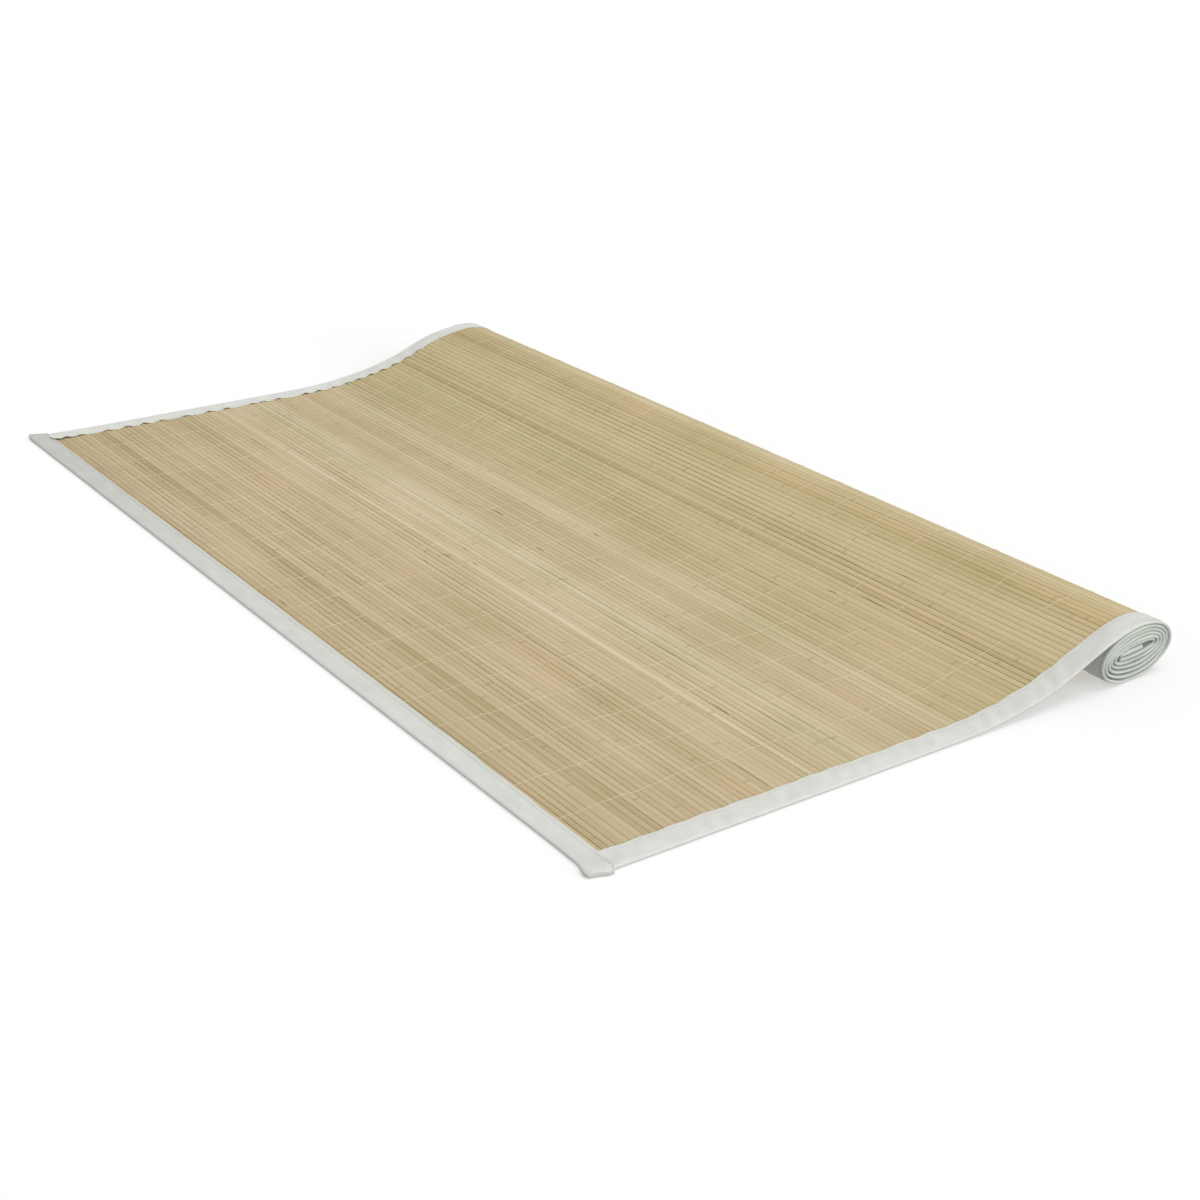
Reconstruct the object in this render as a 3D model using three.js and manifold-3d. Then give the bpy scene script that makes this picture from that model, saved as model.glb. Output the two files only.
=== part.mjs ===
// Bamboo rug, part unrolled: a mat of narrow slats bound with tape, lying flat, rising and wound into an
// oval roll. Millimetres, +Z up. The slats run along X, and the mat unrolls from +Y towards its free end.

import * as THREE from 'three';
import Module from 'manifold-3d';

const wasm = await Module();
wasm.setup();

// Mat. Heights are measured from the underside of the sheet.
const matWidth = 1000;
const slatPitch = 5.5;
const slatTop = 2.4;
const grooveDepth = 0.5;
const grooveRun = 0.35;
const sheetSlats = 86;
const rollSlats = 34;

// The mat's thinner edge inside the folded tape
const coreLow = 0.8;
const coreHigh = 1.8;
const coreReach = 498;
const coreStart = 2;
const coreSlats = 81;

// Binding tape, folded over the mat's edge
const tapeWidth = 20;
const tapeTop = 3;
const tapeEdgeRound = 1;
const tapeEdgeInset = 0.7;
const gap = 0.3;

// Puckers of the side tapes: the inner edge draws in and the top ripples between stitches
const puckers = {
  near: { period: 29, depth: 1.6, ripple: 0.25 },
  far: { period: 23, depth: 2.6, ripple: 0.3 },
};
const puckerDrift = { period: 131, turn: 0.9 };
const puckerFadeStart = 440;
const puckerFadeEnd = 470;

// Height of the sheet's underside at each side, from the free end to where it joins the roll
const rise = [
  { y: 0, near: 0, far: 0 },
  { y: 150, near: 0, far: 0 },
  { y: 260, near: 0, far: 0 },
  { y: 310, near: 0.1, far: 0.4 },
  { y: 340, near: 0.9, far: 2 },
  { y: 370, near: 3.7, far: 6 },
  { y: 400, near: 8.6, far: 11.6 },
  { y: 430, near: 17.4, far: 20.3 },
  { y: 455, near: 27.6, far: 30.2 },
  { y: 475, near: 35.9, far: 36.8 },
  { y: 490, near: 40.9, far: 39.7 },
];

// Roll: an oval wound clockwise from the join, each turn one layer further in. Its centre and its half
// height grow a little towards the near end.
const rollCentreY = 509.7;
const rollCentreZ = { far: 21.5, near: 22.5 };
const rollHalfLength = 41.1;
const rollHalfHeight = { far: 23.8, near: 24.9 };
const rollTilt = THREE.MathUtils.degToRad(6.3);
const layerPitch = 3.1;
const joinAngle = THREE.MathUtils.degToRad(100);
const windAngle = THREE.MathUtils.degToRad(-262);
const windSteps = 30;

// Spiral groove between the turns, on both ends of the roll
const turnGroove = { width: 0.9, depth: 1.8, turns: 6.1, stepsPerTurn: 24 };

// Share of a half circle's depth that the fold at the free end's front takes, and its steps
const foldDepth = 0.8;
const foldSteps = 6;

// Tape on the free end, a row for each section along X. Its ends are folded over the side tapes: the near
// one is a thick slanting tab that stands out past both edges, the far one a thin point that lifts a little.
const endTape = [
  { x: -509, front: 2.8, back: 4.2, base: 2.2, top: 3 },
  { x: -506.5, front: 1.5, back: 7.8, base: 1.8, top: 3.3 },
  { x: -503, front: 0.6, back: 14.5, base: 0.9, top: 3.6 },
  { x: -500, front: 0.2, back: 19.5, base: 0.2, top: 3.7 },
  { x: -494, front: 0, back: 20, base: 0, top: 3.4 },
  { x: -478, front: 0, back: 20, base: 0, top: 3 },
  { x: 0, front: 0, back: 20, base: 0, top: 3 },
  { x: 470, front: 0, back: 20, base: 0, top: 3 },
  { x: 484, front: -0.8, back: 20, base: 0, top: 3.3 },
  { x: 491, front: -3.3, back: 20, base: 0, top: 4.2 },
  { x: 496, front: -4.4, back: 20, base: 0, top: 4.5 },
  { x: 498.8, front: -3.2, back: 19.4, base: 0, top: 4.5 },
  { x: 500.3, front: 1.8, back: 17.2, base: 0, top: 4.3 },
  { x: 502, front: 6.6, back: 15.6, base: 0.1, top: 3.9 },
  { x: 503.4, front: 9.4, back: 13.8, base: 0.6, top: 3.1 },
];

// Share of the way from the far side to the near one
function nearnessAt(x) {
  return THREE.MathUtils.clamp(x / matWidth + 0.5, 0, 1);
}

// Point on the underside of the wound layer, after turning clockwise to the given angle
function rollPoint(angle, nearness) {
  const centreZ = THREE.MathUtils.lerp(rollCentreZ.far, rollCentreZ.near, nearness);
  const halfHeight = THREE.MathUtils.lerp(rollHalfHeight.far, rollHalfHeight.near, nearness);
  const windIn = layerPitch * (joinAngle - angle) / (2 * Math.PI);
  const along = (rollHalfLength - tapeTop - windIn) * Math.cos(angle);
  const up = (halfHeight - tapeTop - windIn) * Math.sin(angle);
  return new THREE.Vector3(
    0,
    rollCentreY + along * Math.cos(rollTilt) - up * Math.sin(rollTilt),
    centreZ + along * Math.sin(rollTilt) + up * Math.cos(rollTilt),
  );
}

// Path of the sheet's underside in the plane at x: flat, rising, then round the roll
function sheetPath(x) {
  const nearness = nearnessAt(x);
  const points = rise.map((row) => {
    const height = THREE.MathUtils.lerp(row.far, row.near, nearness);
    return new THREE.Vector3(0, row.y, height);
  });
  for (let step = 0; step <= windSteps; step += 1) {
    points.push(rollPoint(THREE.MathUtils.lerp(joinAngle, windAngle, step / windSteps), nearness));
  }
  const curve = new THREE.CatmullRomCurve3(points, false, 'centripetal');
  curve.arcLengthDivisions = 4000;
  const length = curve.getLength();
  return (run, height, floor) => {
    const point = curve.getPointAt(run / length);
    const tangent = curve.getTangentAt(run / length);
    const y = point.y - tangent.z * height;
    const z = point.z + tangent.y * height;
    return { y, z: Math.max(z, floor) };
  };
}

// Where slat number i begins, along the sheet from its free end
function slatRun(i) {
  return tapeWidth + gap + i * slatPitch;
}

// How far a side tape's inner edge draws in towards the middle at a run along the sheet
function puckerAt(side, run) {
  const drift = puckerDrift.turn * Math.sin(2 * Math.PI * run / puckerDrift.period);
  const wave = Math.abs(Math.sin(Math.PI * run / puckers[side].period + drift));
  return wave * (1 - THREE.MathUtils.smoothstep(run, puckerFadeStart, puckerFadeEnd));
}

// Distance of a side tape's inner edge from the middle, straight over each slat
function tapeInner(side, run) {
  const slat = Math.max(0, (run - slatRun(0)) / slatPitch);
  const low = Math.floor(slat);
  const edge = (i) => matWidth / 2 - tapeWidth - puckers[side].depth * puckerAt(side, slatRun(i));
  return THREE.MathUtils.lerp(edge(low), edge(low + 1), slat - low);
}

// Section of the sheet along its path, as cells: one for each slat of the flat sheet, and a last one for
// the roll. Each point of a cell has a run along the path and a height over the underside.
function slatCells() {
  const faceOf = (i) => [
    { run: slatRun(i), height: slatTop - grooveDepth },
    { run: slatRun(i) + grooveRun, height: slatTop },
    { run: slatRun(i + 1) - grooveRun, height: slatTop },
  ];
  const backOf = (i) => [
    { run: slatRun(i), height: grooveDepth },
    { run: slatRun(i) + grooveRun, height: 0 },
    { run: slatRun(i + 1) - grooveRun, height: 0 },
  ];
  return cellsFrom(faceOf, backOf, slatTop);
}

function tapeCells(side) {
  const ripple = (i) => puckers[side].ripple * (2 * puckerAt(side, slatRun(i)) - 1);
  const faceOf = (i) => [{ run: slatRun(i), height: tapeTop + (i < sheetSlats ? ripple(i) : 0) }];
  const backOf = (i) => [{ run: slatRun(i), height: 0 }];
  return cellsFrom(faceOf, backOf, tapeTop);
}

function cellsFrom(faceOf, backOf, top) {
  const face = [];
  const back = [];
  for (let i = 0; i < sheetSlats + rollSlats; i += 1) {
    face.push(faceOf(i));
  }
  for (let i = 0; i < sheetSlats; i += 1) {
    back.push(backOf(i));
  }
  const faceEnd = { run: slatRun(sheetSlats + rollSlats), height: top };
  const backEnd = { run: slatRun(sheetSlats), height: 0 };
  return { face, back, faceEnd, backEnd };
}

// The strip of the mat that lies inside the tapes, or the slot for it when grown by the gap
function coreCells(grow) {
  const runs = [coreStart - grow];
  for (let i = 0; i < coreSlats; i += 1) {
    runs.push(slatRun(i));
  }
  const end = slatRun(coreSlats) + grow;
  return {
    face: runs.map((run) => [{ run, height: coreHigh + grow }]),
    back: runs.map((run) => [{ run, height: coreLow - grow }]),
    faceEnd: { run: end, height: coreHigh + grow },
    backEnd: { run: end, height: coreLow - grow },
  };
}

// Solid between stations along X. A station gives the x of each run, the plane whose path the section
// follows, and how far the section is drawn in there.
function loftAcross(cells, stations) {
  const ring = [...cells.face.flat(), cells.faceEnd, cells.backEnd, ...cells.back.flat().reverse()];
  const split = cells.face.flat().length + 1;
  const vertices = [];
  stations.forEach(({ across, plane, inset }) => {
    const place = sheetPath(plane);
    ring.forEach((point, index) => {
      const height = index < split ? point.height - inset : point.height + inset;
      const spot = place(point.run, height, inset);
      vertices.push([across(point.run), spot.y, spot.z]);
    });
  });
  const triangles = [];
  for (let s = 0; s + 1 < stations.length; s += 1) {
    ring.forEach((point, index) => {
      const next = (index + 1) % ring.length;
      const a = s * ring.length + index;
      const b = s * ring.length + next;
      triangles.push([a, a + ring.length, b], [b, a + ring.length, b + ring.length]);
    });
  }
  endPolygons(cells, ring.length).forEach((polygon) => {
    const last = (stations.length - 1) * ring.length;
    triangles.push(...fillPolygon(vertices, polygon, false));
    triangles.push(...fillPolygon(vertices, polygon.map((index) => index + last), true));
  });
  return solidFrom(vertices, triangles);
}

// Ring indices of each cell's end face: small ones along the sheet, then one for the rest
function endPolygons(cells, ringLength) {
  const polygons = [];
  const sheetCells = cells.back.length;
  let faceStart = 0;
  let backStart = ringLength - 1;
  for (let i = 0; i < sheetCells; i += 1) {
    const faceCount = cells.face[i].length;
    const backCount = cells.back[i].length;
    const polygon = [];
    for (let k = 0; k <= faceCount; k += 1) {
      polygon.push(faceStart + k);
    }
    for (let k = backCount; k >= 0; k -= 1) {
      polygon.push(backStart - k);
    }
    polygons.push(polygon);
    faceStart += faceCount;
    backStart -= backCount;
  }
  if (backStart - faceStart > 1) {
    const rest = [];
    for (let k = faceStart; k <= backStart; k += 1) {
      rest.push(k);
    }
    polygons.push(rest);
  }
  return polygons;
}

// Triangles of a flat polygon of vertex indices, facing +X or -X
function fillPolygon(vertices, polygon, towardsPlusX) {
  const flat = polygon.map((index) => new THREE.Vector2(vertices[index][1], vertices[index][2]));
  return THREE.ShapeUtils.triangulateShape(flat, []).map(([i, j, k]) => {
    const area = flat[j].clone().sub(flat[i]).cross(flat[k].clone().sub(flat[i]));
    const corners = (area > 0) === towardsPlusX ? [i, j, k] : [i, k, j];
    return corners.map((corner) => polygon[corner]);
  });
}

// Solid through a row of sections with the same number of points each, its two ends closed by fans
function solidThrough(sections) {
  const count = sections[0].length;
  const last = (sections.length - 1) * count;
  const triangles = [];
  for (let start = 0; start < last; start += count) {
    for (let index = 0; index < count; index += 1) {
      const a = start + index;
      const b = start + (index + 1) % count;
      triangles.push([a, b, a + count], [b, b + count, a + count]);
    }
  }
  for (let index = 1; index + 1 < count; index += 1) {
    triangles.push([0, index + 1, index], [last, last + index, last + index + 1]);
  }
  return solidFrom(sections.flat(), triangles);
}

// Closed solid of triangles that all face the same way, turned to face outwards
function solidFrom(vertices, triangles) {
  const corner = (index) => new THREE.Vector3(...vertices[index]);
  const volume = triangles.reduce((sum, [a, b, c]) => sum + corner(a).dot(corner(b).cross(corner(c))), 0);
  const outward = volume > 0 ? triangles : triangles.map(([a, b, c]) => [a, c, b]);
  return new wasm.Manifold(new wasm.Mesh({
    numProp: 3,
    vertProperties: new Float32Array(vertices.flat()),
    triVerts: new Uint32Array(outward.flat()),
  }));
}

function station(x, inset = 0) {
  return { across: () => x, plane: x, inset };
}

function coreSolid(grow) {
  const reach = coreReach + grow;
  return loftAcross(coreCells(grow), [station(-reach), station(reach)]);
}

function slatMat() {
  const edge = matWidth / 2 - tapeWidth;
  const stations = [
    { across: (run) => gap - tapeInner('far', run), plane: -edge, inset: 0 },
    { across: (run) => tapeInner('near', run) - gap, plane: edge, inset: 0 },
  ];
  return loftAcross(slatCells(), stations).add(coreSolid(0));
}

// Cutter for the groove between the roll's turns, from the wedge under the sheet in to the core
function turnGrooves(direction) {
  const end = direction * matWidth / 2;
  const place = sheetPath(end);
  const line = [slatRun(sheetSlats - 0.5), slatRun(sheetSlats + 0.5)].map((run) => place(run, 0, 0));
  const steps = turnGroove.turns * turnGroove.stepsPerTurn;
  for (let step = 0; step <= steps; step += 1) {
    line.push(rollPoint(joinAngle - 2 * Math.PI * step / turnGroove.stepsPerTurn, nearnessAt(end)));
  }
  const mouth = direction * (matWidth / 2 + gap);
  const bottom = direction * (matWidth / 2 - turnGroove.depth);
  const sections = line.map((point, index) => {
    const before = line[Math.max(index - 1, 0)];
    const after = line[Math.min(index + 1, line.length - 1)];
    const along = new THREE.Vector2(after.y - before.y, after.z - before.z).setLength(turnGroove.width / 2);
    return [
      [mouth, point.y - along.y, point.z + along.x],
      [mouth, point.y + along.y, point.z - along.x],
      [bottom, point.y, point.z],
    ];
  });
  return solidThrough(sections);
}

function sideBinding(side, direction, slot) {
  const edge = matWidth / 2;
  const stations = [
    { across: (run) => direction * tapeInner(side, run), plane: direction * (edge - tapeWidth), inset: 0 },
    station(direction * (edge - tapeEdgeRound)),
    station(direction * edge, tapeEdgeInset),
  ];
  const ordered = direction > 0 ? stations : stations.reverse();
  return loftAcross(tapeCells(side), ordered).subtract(slot).subtract(turnGrooves(direction));
}

// Section of the free end's tape at one row of its table, its front edge rounded by the fold
function endTapeSection(row) {
  const middle = (row.base + row.top) / 2;
  const half = (row.top - row.base) / 2;
  const section = [];
  for (let step = 0; step <= foldSteps; step += 1) {
    const angle = Math.PI * (0.5 + step / foldSteps);
    const y = row.front + half * foldDepth * (1 + Math.cos(angle));
    section.push([row.x, y, middle + half * Math.sin(angle)]);
  }
  section.push([row.x, row.back, row.base], [row.x, row.back, row.top]);
  return section;
}

function endBinding(slot) {
  return solidThrough(endTape.map(endTapeSection)).subtract(slot);
}

const bamboo = { color: 0xc3b38e, roughness: 0.55, metalness: 0 };
const cotton = { color: 0xd6d7cf, roughness: 0.9, metalness: 0 };

function nodeMesh(name, solid, finish) {
  const { vertProperties, triVerts } = solid.getMesh();
  const geometry = new THREE.BufferGeometry();
  geometry.setAttribute('position', new THREE.BufferAttribute(vertProperties, 3));
  geometry.setIndex(new THREE.BufferAttribute(triVerts, 1));
  geometry.computeVertexNormals();
  const mesh = new THREE.Mesh(geometry, new THREE.MeshStandardMaterial(finish));
  mesh.name = name;
  return mesh;
}

const slot = coreSolid(gap);
const rug = new THREE.Group();
rug.add(nodeMesh('slat_mat', slatMat(), bamboo));
rug.add(nodeMesh('binding_end', endBinding(slot), cotton));
rug.add(nodeMesh('binding_side_near', sideBinding('near', 1, slot), cotton));
rug.add(nodeMesh('binding_side_far', sideBinding('far', -1, slot), cotton));

// The origin is the centre of the footprint, on the surface that the rug lies on
const box = new THREE.Box3().setFromObject(rug);
const middle = box.getCenter(new THREE.Vector3());
rug.position.set(-middle.x, -middle.y, -box.min.z);
rug.updateMatrixWorld(true);

export default rug;
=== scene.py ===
import math

import bmesh
import bpy
import numpy as np
from mathutils import Matrix, Vector


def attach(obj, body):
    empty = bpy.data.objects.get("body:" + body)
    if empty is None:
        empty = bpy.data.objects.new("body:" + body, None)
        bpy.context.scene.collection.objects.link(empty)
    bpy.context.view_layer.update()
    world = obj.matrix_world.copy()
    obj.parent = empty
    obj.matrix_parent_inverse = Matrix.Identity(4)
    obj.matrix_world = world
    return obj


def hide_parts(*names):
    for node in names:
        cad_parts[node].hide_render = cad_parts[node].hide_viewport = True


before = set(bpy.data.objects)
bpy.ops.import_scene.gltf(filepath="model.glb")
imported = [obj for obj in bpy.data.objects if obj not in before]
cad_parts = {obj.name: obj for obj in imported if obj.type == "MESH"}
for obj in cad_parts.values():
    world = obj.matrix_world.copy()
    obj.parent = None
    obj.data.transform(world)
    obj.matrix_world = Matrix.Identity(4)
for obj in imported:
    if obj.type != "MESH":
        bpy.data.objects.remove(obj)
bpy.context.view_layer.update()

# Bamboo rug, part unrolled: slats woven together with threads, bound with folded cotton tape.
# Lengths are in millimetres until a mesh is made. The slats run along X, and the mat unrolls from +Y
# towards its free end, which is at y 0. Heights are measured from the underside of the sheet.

rng = np.random.default_rng(11)

# The mat's middle at its free end, in the frame
ORIGIN = (2.8, -272.648, 0.0)
METRES = 0.001

# Mat
MAT_WIDTH = 1000
SLAT_PITCH = 5.5
SLAT_LOW = 0.47
SLAT_HIGH = 2.35
SLAT_REACH = 497.6
TAPE_WIDTH = 20
TAPE_TOP = 2.95
CLOTH = 0.45

# Height of the sheet's underside at each side, from the free end to where it joins the roll
RISE = [
    {"y": 0, "near": 0, "far": 0},
    {"y": 150, "near": 0, "far": 0},
    {"y": 260, "near": 0, "far": 0},
    {"y": 310, "near": 0.1, "far": 0.4},
    {"y": 340, "near": 0.9, "far": 2},
    {"y": 370, "near": 3.7, "far": 6},
    {"y": 400, "near": 8.6, "far": 11.6},
    {"y": 430, "near": 17.4, "far": 20.3},
    {"y": 455, "near": 27.6, "far": 30.2},
    {"y": 475, "near": 35.9, "far": 36.8},
    {"y": 490, "near": 40.9, "far": 39.7},
]

# Roll: an oval wound clockwise from the join, angles in degrees
ROLL_CENTRE_Y = 509.7
ROLL_CENTRE_Z = {"near": 22.5, "far": 21.5}
ROLL_HALF_LENGTH = 38.1
ROLL_HALF_HEIGHT = {"near": 21.9, "far": 20.8}
ROLL_TILT = math.radians(6.3)
JOIN_ANGLE = 100
WIND_END = -1950
WIND_STEP = 12
PITCH_ALONG = 3.3
PITCH_UP = {"near": 3.6, "far": 3.42}
LAYER_ON_FLOOR = 3.02
FLOOR_SOFTNESS = 0.25
EXPONENT_LIMIT = 30

# How far the middle of the turns moves back and up by the end of the winding
CORE_BACK = 1.2
CORE_LIFT = {"near": 3.3, "far": 2.3}

# The mat's inner end, folded back and lying straight in the middle of the roll, in the oval's own axes
INNER_END = [(-17.3, -0.9), (-18.1, -0.3), (-17.1, 0.1), (-11, -0.7), (0, -1.5), (9, -1.7), (16, -1.3)]

# Points of the sheet's line between two given ones
LINE_STEPS = 16


def smooth_line(points, steps):
    """Points along a centripetal Catmull-Rom curve through the given ones."""
    knots = np.array(points, float)
    knots = np.vstack([2 * knots[0] - knots[1], knots, 2 * knots[-1] - knots[-2]])
    line = []
    for p0, p1, p2, p3 in zip(knots, knots[1:], knots[2:], knots[3:]):
        t1 = np.linalg.norm(p1 - p0) ** 0.5
        t2 = t1 + np.linalg.norm(p2 - p1) ** 0.5
        t3 = t2 + np.linalg.norm(p3 - p2) ** 0.5
        t = np.linspace(t1, t2, steps, endpoint=False)[:, None]
        a1 = ((t1 - t) * p0 + t * p1) / t1
        a2 = ((t2 - t) * p1 + (t - t1) * p2) / (t2 - t1)
        a3 = ((t3 - t) * p2 + (t - t2) * p3) / (t3 - t2)
        b1 = ((t2 - t) * a1 + t * a2) / t2
        b2 = ((t3 - t) * a2 + (t - t1) * a3) / (t3 - t1)
        line.append(((t2 - t) * b1 + (t - t1) * b2) / (t2 - t1))
    line.append(knots[-2][None])
    return np.vstack(line)


def smoothstep(value, start, end):
    share = np.clip((value - start) / (end - start), 0, 1)
    return share * share * (3 - 2 * share)


def in_roll(side, along, up, wound=1.0):
    """A point of the oval's own axes, in the mat's, where a share of the winding is done."""
    along = along - CORE_BACK * wound
    y = ROLL_CENTRE_Y + along * math.cos(ROLL_TILT) - up * math.sin(ROLL_TILT)
    z = ROLL_CENTRE_Z[side] + along * math.sin(ROLL_TILT) + up * math.cos(ROLL_TILT)
    return y, z + CORE_LIFT[side] * wound


def roll_point(side, angle):
    """Underside of the wound layer at an angle, lifted where the layers under it press on the floor."""
    turns = (JOIN_ANGLE - angle) / 360
    along = (ROLL_HALF_LENGTH - PITCH_ALONG * turns) * math.cos(math.radians(angle))
    up = (ROLL_HALF_HEIGHT[side] - PITCH_UP[side] * turns) * math.sin(math.radians(angle))
    y, z = in_roll(side, along, up, (JOIN_ANGLE - angle) / (JOIN_ANGLE - WIND_END))
    layers_under = round((-90 - angle) / 360)
    lowest = LAYER_ON_FLOOR * (max(layers_under, 0) + 1)
    pressed = min((lowest - z) / FLOOR_SOFTNESS, EXPONENT_LIMIT)
    z += FLOOR_SOFTNESS * math.log1p(math.exp(pressed))
    return y, z


def side_line(side):
    """Underside of the sheet at one side of the mat: rows of run, y, z and the tangent's y and z."""
    points = [(row["y"], row[side]) for row in RISE]
    points += [roll_point(side, angle) for angle in range(JOIN_ANGLE, WIND_END, -WIND_STEP)]
    points += [in_roll(side, *point) for point in INNER_END]
    line = smooth_line(points, LINE_STEPS)
    run = np.concatenate([[0], np.cumsum(np.hypot(*np.diff(line, axis=0).T))])
    tangent = np.gradient(line, run, axis=0)
    tangent /= np.linalg.norm(tangent, axis=1)[:, None]
    return np.column_stack([run, line, tangent])


LINES = {side: side_line(side) for side in ("near", "far")}
MAT_LENGTH = min(LINES["near"][-1, 0], LINES["far"][-1, 0])

# Run at which the rising sheet passes this y, at the top of the roll. Only the line's first rows are searched
JOIN_Y = 500
ROWS_TO_JOIN = 400
JOIN_RUN = float(np.interp(JOIN_Y, LINES["near"][:ROWS_TO_JOIN, 1], LINES["near"][:ROWS_TO_JOIN, 0]))


def on_line(side, run):
    """y, z and tangent of one side's line at the runs."""
    line = LINES[side]
    return [np.interp(run, line[:, 0], line[:, k]) for k in (1, 2, 3, 4)]


def place(x, run, height):
    """Positions at x across the mat, a run along it and a height over its underside."""
    x, run, height = np.broadcast_arrays(x, run, height)
    share = np.clip(x / MAT_WIDTH + 0.5, 0, 1)
    y, z, ty, tz = [
        far + (near - far) * share
        for far, near in zip(on_line("far", run), on_line("near", run))
    ]
    size = np.hypot(ty, tz)
    return np.stack([x, y - tz / size * height, z + ty / size * height], axis=-1)


class Mesh:
    """Vertices, faces and values at the vertices, gathered into one piece."""

    def __init__(self):
        self.vertices = []
        self.faces = []
        self.places = []
        self.tints = []
        self.count = 0

    def tube(self, rings, places, tint, strip_ends=False):
        """Skin over rings of points, closed at both ends: by one face, or across a folded band."""
        sections, points, _ = rings.shape
        index = self.count + np.arange(sections * points).reshape(sections, points)
        after = np.roll(index, -1, axis=1)
        quads = np.stack([index[:-1], after[:-1], after[1:], index[1:]], axis=-1)
        self.faces += quads.reshape(-1, 4).tolist()
        for end in (index[0], index[-1]):
            if strip_ends:
                self.faces += [
                    [int(end[k]), int(end[k + 1]), int(end[-k - 2]), int(end[-k - 1])]
                    for k in range(points // 2 - 1)
                ]
            else:
                self.faces.append(end.tolist())
        self.vertices.append(rings.reshape(-1, 3))
        self.places.append(np.broadcast_to(places, rings.shape).reshape(-1, 3))
        self.tints.append(np.broadcast_to(tint, rings.shape).reshape(-1, 3))
        self.count += sections * points

    def piece(self, name, material, sharp, node=None):
        """The finished piece in the frame, riding on its body. Edges over sharp degrees stay sharp."""
        mesh = bpy.data.meshes.new(name)
        vertices = (np.vstack(self.vertices) + np.array(ORIGIN)) * METRES
        mesh.from_pydata(vertices.tolist(), [], self.faces)
        for attribute, values in (("place", self.places), ("tint", self.tints)):
            data = mesh.attributes.new(attribute, "FLOAT_VECTOR", "POINT").data
            data.foreach_set("vector", np.vstack(values).astype(np.float32).ravel())
        work = bmesh.new()
        work.from_mesh(mesh)
        bmesh.ops.recalc_face_normals(work, faces=work.faces)
        work.to_mesh(mesh)
        work.free()
        mesh.shade_smooth()
        mesh.set_sharp_from_angle(angle=math.radians(sharp))
        mesh.materials.append(material)
        made = bpy.data.objects.new(name, mesh)
        bpy.context.scene.collection.objects.link(made)
        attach(made, "root")
        if node:
            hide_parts(node)
        return made


# Materials

def colour(red, green, blue):
    """A colour given as it looks on screen, as the shader takes it."""
    values = [value / 255 for value in (red, green, blue)]
    linear = [v / 12.92 if v <= 0.04045 else ((v + 0.055) / 1.055) ** 2.4 for v in values]
    return (*linear, 1)


class Shader:
    """Nodes of one material."""

    def __init__(self, name, roughness, sheen=0.0):
        self.material = bpy.data.materials.new(name)
        self.material.use_nodes = True
        self.tree = self.material.node_tree
        self.surface = self.tree.nodes["Principled BSDF"]
        self.surface.inputs["Roughness"].default_value = roughness
        self.surface.inputs["Sheen Weight"].default_value = sheen

    def node(self, kind, values=(), **settings):
        made = self.tree.nodes.new("ShaderNode" + kind)
        for name, value in settings.items():
            setattr(made, name, value)
        for key, value in dict(values).items():
            if isinstance(value, bpy.types.NodeSocket):
                self.tree.links.new(value, made.inputs[key])
            else:
                made.inputs[key].default_value = value
        return made

    def math(self, operation, first, second=0.0):
        return self.node("Math", {0: first, 1: second}, operation=operation).outputs[0]

    def mixed(self, factor, first, second, blend="MIX"):
        """Two colours mixed. The node's sockets 6 and 7 and its output 2 are those for colours."""
        values = {0: factor, 6: first, 7: second}
        return self.node("Mix", values, data_type="RGBA", blend_type=blend).outputs[2]

    def attribute(self, name):
        return self.node("Attribute", attribute_name=name).outputs["Vector"]

    def noise(self, vector, scale, detail=2.0):
        """Noise over a vector that is stretched first."""
        stretched = self.node("VectorMath", {0: vector, 1: scale}, operation="MULTIPLY").outputs[0]
        values = {"Vector": stretched, "Scale": 1.0, "Detail": detail}
        return self.node("TexNoise", values).outputs[0]

    def centred(self, noise, size):
        """Noise that lies around nought, made larger or smaller."""
        return self.math("MULTIPLY", self.math("SUBTRACT", noise, 0.5), size)

    def ramp(self, factor, stops):
        """Colours at positions from 0 to 1, given as they look on screen."""
        made = self.node("ValToRGB", {0: factor})
        elements = made.color_ramp.elements
        while len(elements) < len(stops):
            elements.new(0.5)
        for element, (position, shade) in zip(elements, stops):
            element.position = position
            element.color = colour(*shade)
        return made.outputs[0]

    def spread(self, value, low, high, out_low, out_high):
        """The value moved from one range into another, and kept inside it."""
        values = {0: value, 1: low, 2: high, 3: out_low, 4: out_high}
        return self.node("MapRange", values).outputs[0]

    def relief(self, height, strength, distance):
        values = {"Strength": strength, "Distance": distance, "Height": height}
        bump = self.node("Bump", values)
        self.tree.links.new(bump.outputs[0], self.surface.inputs["Normal"])

    def paint(self, shade):
        self.tree.links.new(shade, self.surface.inputs["Base Color"])


# Noise over the bamboo: its scale along a slat, along the mat and from slat to slat, its detail, and its
# part in a slat's shade
BAMBOO_NOISE = {
    "fibres": {"scale": (7, 900, 1), "detail": 3, "part": 0.5},
    "fine": {"scale": (28, 2600, 1), "detail": 2, "part": 0.32},
    "stain": {"scale": (3.2, 60, 1), "detail": 2, "part": 0.42},
    "cloud": {"scale": (9, 11, 0), "detail": 2, "part": 0.5},
}
BAMBOO_SHADES = [
    (0.0, (176, 154, 108)),
    (0.32, (194, 175, 134)),
    (0.62, (206, 189, 152)),
    (1.0, (220, 206, 174)),
]

# Some slats are warmer and some greener: the shades, the hue at which each begins, and its most
WARM_SHADE = (210, 172, 132)
WARM_FROM = 0.58
GREEN_SHADE = (186, 182, 134)
GREEN_FROM = 0.42
HUE_PART = 0.5
CLOUD_IN_HUE = 1.1

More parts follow.
